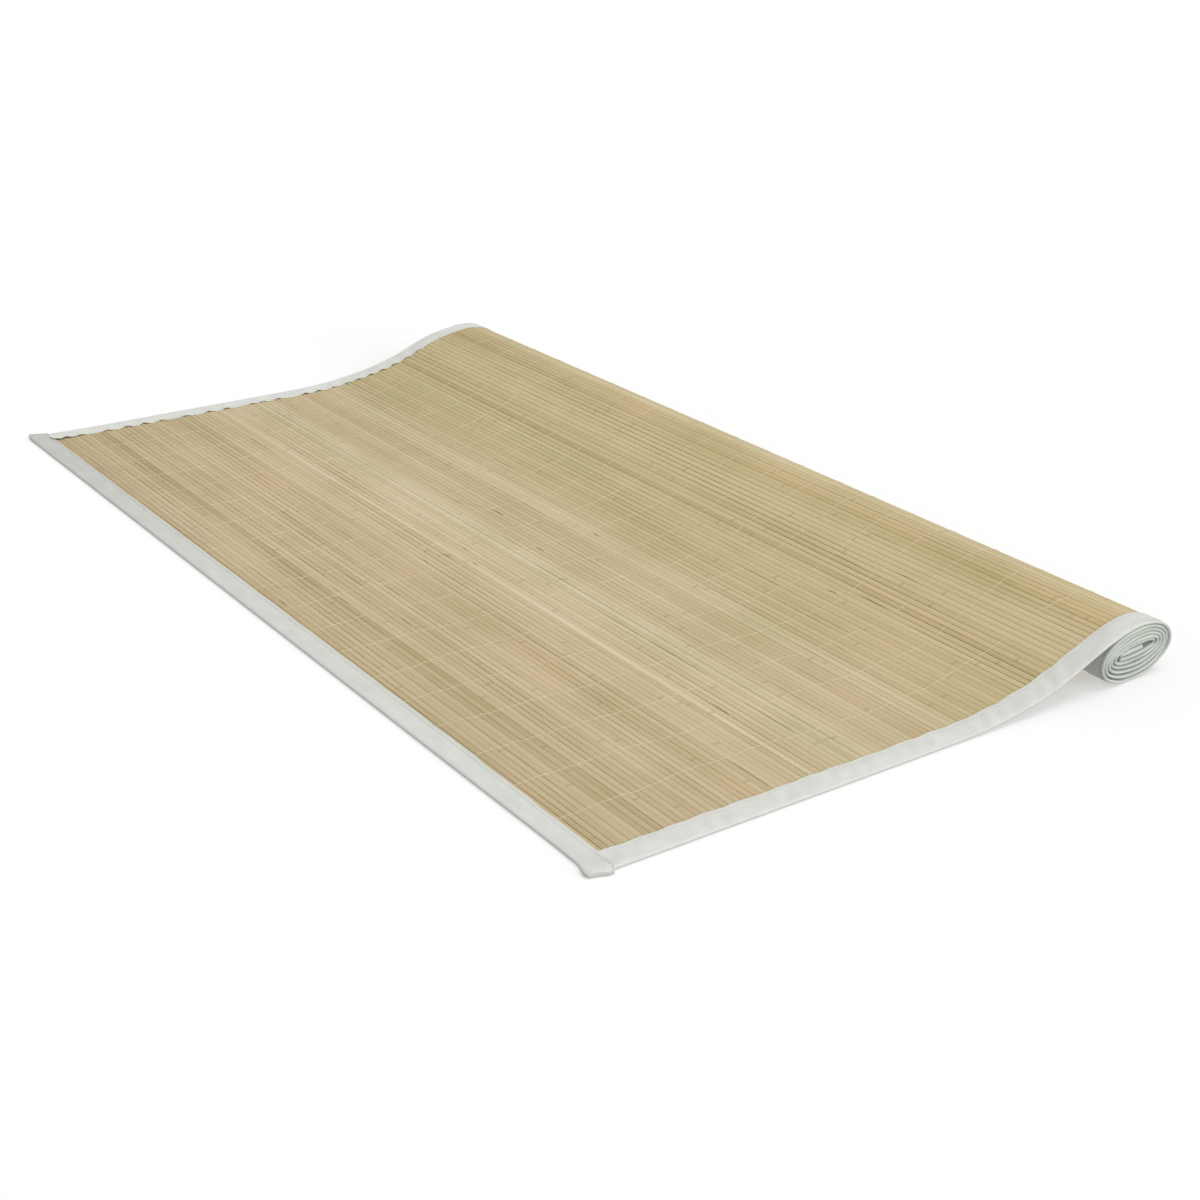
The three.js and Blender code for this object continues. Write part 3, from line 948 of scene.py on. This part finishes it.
# Tape on the free end: a thick folded tab at the near side, a thin point that lifts at the far one
END_TAPE = [
    {"x": -509, "front": 2.8, "back": 4.2, "base": 2.2, "top": 3},
    {"x": -506.5, "front": 1.5, "back": 7.8, "base": 1.8, "top": 3.3},
    {"x": -503, "front": 0.6, "back": 14.5, "base": 0.9, "top": 3.6},
    {"x": -500, "front": 0.2, "back": 19.5, "base": 0.2, "top": 3.7},
    {"x": -494, "front": 0, "back": 20, "base": 0, "top": 3.4},
    {"x": -478, "front": 0, "back": 20, "base": 0, "top": 3},
    {"x": -300, "front": 0, "back": 20, "base": 0, "top": 3},
    {"x": 300, "front": 0, "back": 20, "base": 0, "top": 3},
    {"x": 470, "front": 0, "back": 18.6, "base": 0, "top": 3},
    {"x": 484, "front": -0.8, "back": 18.3, "base": 0, "top": 3.3},
    {"x": 491, "front": -3.3, "back": 18.2, "base": 0, "top": 4.2},
    {"x": 496, "front": -4.4, "back": 18.1, "base": 0, "top": 4.5},
    {"x": 498.8, "front": -3.2, "back": 17.7, "base": 0, "top": 4.5},
    {"x": 500.3, "front": 1.8, "back": 16.6, "base": 0, "top": 4.3},
    {"x": 502, "front": 6.6, "back": 15.3, "base": 0.1, "top": 3.9},
    {"x": 503.4, "front": 9.4, "back": 13.8, "base": 0.6, "top": 3.1},
]
END_KEYS = ("x", "front", "back", "base", "top")
END_STEPS = 12
END_LINE = smooth_line([[row[key] for key in END_KEYS] for row in END_TAPE], END_STEPS)
END_WAVES = ripple([(21, 27, 0.08), (43, 55, 0.1), (90, 130, 0.12)], 9)
END_EDGE = ripple([(33, 41, 0.22), (70, 90, 0.3)], 0)

# Its uneven edge is straight near the corners, and its inside comes together in them
END_EDGE_FADE = (440, 480)
FAR_CLOSED = (-500, -496)
NEAR_CLOSED = (492, 497)

# x of its sections, as start, end and number, and its tone along x
END_STATIONS = [(-509, -478, 24), (-478, 470, 220), (470, 497, 18), (497, 503.4, 14)]
TONE_AT = (-450, 0, 400)
END_TONES = (0.77, 0.92, 0.98)


def end_sections(x):
    """Back, width, base, top and outline of the end tape at each x."""
    front, back, base, top = (np.interp(x, END_LINE[:, 0], END_LINE[:, k]) for k in (1, 2, 3, 4))
    back = back + END_EDGE(x, 0) * (1 - smoothstep(np.abs(x), *END_EDGE_FADE))
    width = back - front
    swell = lambda share: END_WAVES(x, share)
    across, up = tape_outline(width, base, top, END_LIP + 0 * x, swell, SEAM_DEPTH["end"])
    return back, width, base, top, across, up


def end_tape():
    mesh = Mesh()
    x = np.unique(np.concatenate([np.linspace(*stations) for stations in END_STATIONS]))
    back, width, base, top, across, up = end_sections(x)
    closed = np.maximum(1 - smoothstep(x, *FAR_CLOSED), smoothstep(x, *NEAR_CLOSED))
    across, up = folded_band(across, up, width, base, top, closed)
    rings = np.stack(np.broadcast_arrays(x[:, None], back[:, None] - across, up), axis=-1)
    places = np.stack(np.broadcast_arrays(x[:, None], across + up, 0.0), axis=-1) * METRES
    tone = np.interp(x, TONE_AT, END_TONES)
    mesh.tube(rings, places, tone[:, None, None], strip_ends=True)
    return mesh.piece("tape_end", COTTON, sharp=80, node="binding_end")


# Stitches: short arcs of thread in the tapes' sewn groove
STITCH_PITCH = 3.2
STITCH_ARC = [(-1.3, -0.2), (-0.85, 0.1), (0.0, 0.17), (0.85, 0.1), (1.3, -0.2)]
STITCH_RADIUS = 0.2
STITCH_SIDES = 5
STITCH_UNEVEN = 0.08

# x of the end seam's two ends, and runs of a side seam's
END_SEAM = (-496, 499)
SIDE_SEAM = (24, 560)


def stitch_rings(along, across, up):
    """Rings of one stitch around a point of the seam: places along the seam, across it and up."""
    turns = 2 * math.pi * np.arange(STITCH_SIDES) / STITCH_SIDES
    arc = np.array(STITCH_ARC)
    rings_along = along + np.repeat(arc[:, :1], STITCH_SIDES, axis=1)
    rings_across = across + STITCH_RADIUS * np.cos(turns) + 0 * rings_along
    rings_up = up + arc[:, 1:] + STITCH_RADIUS * np.sin(turns)
    return rings_along, rings_across, rings_up


def stitches():
    mesh = Mesh()
    for x in np.arange(*END_SEAM, STITCH_PITCH):
        x = x + rng.normal(0, STITCH_UNEVEN)
        back, *_, across, up = end_sections(np.array([x]))
        along, aside, height = stitch_rings(x, across[0, STITCH_POINT], up[0, STITCH_POINT])
        mesh.tube(np.stack([along, back[0] - aside, height], axis=-1), 0.0, PLAIN)
    for side in ("near", "far"):
        for run in np.arange(*SIDE_SEAM, STITCH_PITCH):
            run = run + rng.normal(0, STITCH_UNEVEN)
            width, *_, across, up = side_sections(side, np.array([run]))
            along, aside, height = stitch_rings(run, across[0, STITCH_POINT], up[0, STITCH_POINT])
            x = PUCKERS[side]["sign"] * (MAT_WIDTH / 2 - width[0] + aside)
            mesh.tube(place(x, along, height), 0.0, PLAIN)
    return mesh.piece("stitches", SEWING, sharp=75)


mat = slats()
warp = threads()
near_tape = side_tape("near")
far_tape = side_tape("far")
front_tape = end_tape()
seams = stitches()


# Floor, light and camera

# The floor lies just under the cloth, and glows a little as a light table does, which keeps shadows faint.
# Its reach is in metres
FLOOR_HEIGHT = -0.1
FLOOR_REACH = 40
FLOOR_SHADE = 0.56
FLOOR_GLOW = 0.42


def floor():
    mesh = bpy.data.meshes.new("floor")
    corners = [(-1, -1), (1, -1), (1, 1), (-1, 1)]
    vertices = [(x * FLOOR_REACH, y * FLOOR_REACH, FLOOR_HEIGHT * METRES) for x, y in corners]
    mesh.from_pydata(vertices, [], [(0, 1, 2, 3)])
    shader = Shader("floor", roughness=1.0)
    shader.surface.inputs["Base Color"].default_value = (FLOOR_SHADE, FLOOR_SHADE, FLOOR_SHADE, 1)
    shader.surface.inputs["Specular IOR Level"].default_value = 0
    shader.surface.inputs["Emission Color"].default_value = (1, 1, 1, 1)
    shader.surface.inputs["Emission Strength"].default_value = FLOOR_GLOW
    mesh.materials.append(shader.material)
    made = bpy.data.objects.new("floor", mesh)
    made.visible_diffuse = False
    bpy.context.scene.collection.objects.link(made)


# Brightness of the studio's light from below and from the side, and from straight above
SKY_LOW = 0.45
SKY_HIGH = 0.75
# Each lamp: strength, softness in degrees, and the direction that it shines from
LAMPS = [
    {"name": "key", "strength": 0.85, "softness": 30, "from": (0.1, 0.26, 1.0)},
    {"name": "fill", "strength": 1.2, "softness": 34, "from": (1.0, 0.26, 0.36)},
]


def light():
    sky = bpy.data.worlds.new("studio")
    sky.use_nodes = True
    nodes, links = sky.node_tree.nodes, sky.node_tree.links
    parts = nodes.new("ShaderNodeSeparateXYZ")
    strength = nodes.new("ShaderNodeMapRange")
    strength.inputs["To Min"].default_value = SKY_LOW
    strength.inputs["To Max"].default_value = SKY_HIGH
    links.new(nodes.new("ShaderNodeTexCoord").outputs["Generated"], parts.inputs[0])
    links.new(parts.outputs["Z"], strength.inputs["Value"])
    nodes["Background"].inputs["Color"].default_value = (1, 1, 1, 1)
    links.new(strength.outputs[0], nodes["Background"].inputs["Strength"])
    bpy.context.scene.world = sky
    for row in LAMPS:
        lamp = bpy.data.lights.new(row["name"], "SUN")
        lamp.energy = row["strength"]
        lamp.angle = math.radians(row["softness"])
        made = bpy.data.objects.new(row["name"], lamp)
        made.rotation_mode = "QUATERNION"
        made.rotation_quaternion = (-Vector(row["from"])).to_track_quat("-Z", "Y")
        bpy.context.scene.collection.objects.link(made)
    bpy.context.scene.view_settings.view_transform = "Standard"


# Camera: place in the mat's own frame, in millimetres, and angles
CAMERA_AT = (1339.6, -598.7, 649.1)
CAMERA_YAW = math.radians(54.4193)
CAMERA_PITCH = math.radians(23.8971)
CAMERA_ROLL = math.radians(0.8795)
LENS = 57.38


def camera():
    back = Vector((
        math.sin(CAMERA_YAW) * math.cos(CAMERA_PITCH),
        -math.cos(CAMERA_YAW) * math.cos(CAMERA_PITCH),
        math.sin(CAMERA_PITCH),
    ))
    right = (-back).cross(Vector((0, 0, 1))).normalized()
    up = right.cross(-back)
    rolled_right = right * math.cos(CAMERA_ROLL) + up * math.sin(CAMERA_ROLL)
    rolled_up = up * math.cos(CAMERA_ROLL) - right * math.sin(CAMERA_ROLL)
    data = bpy.data.cameras.new("camera")
    data.sensor_width = 36
    data.lens = LENS
    made = bpy.data.objects.new("camera", data)
    axes = Matrix((rolled_right, rolled_up, back)).transposed()
    made.matrix_world = Matrix.Translation((Vector(CAMERA_AT) + Vector(ORIGIN)) * METRES) @ axes.to_4x4()
    bpy.context.scene.collection.objects.link(made)
    bpy.context.scene.camera = made


floor()
light()
camera()
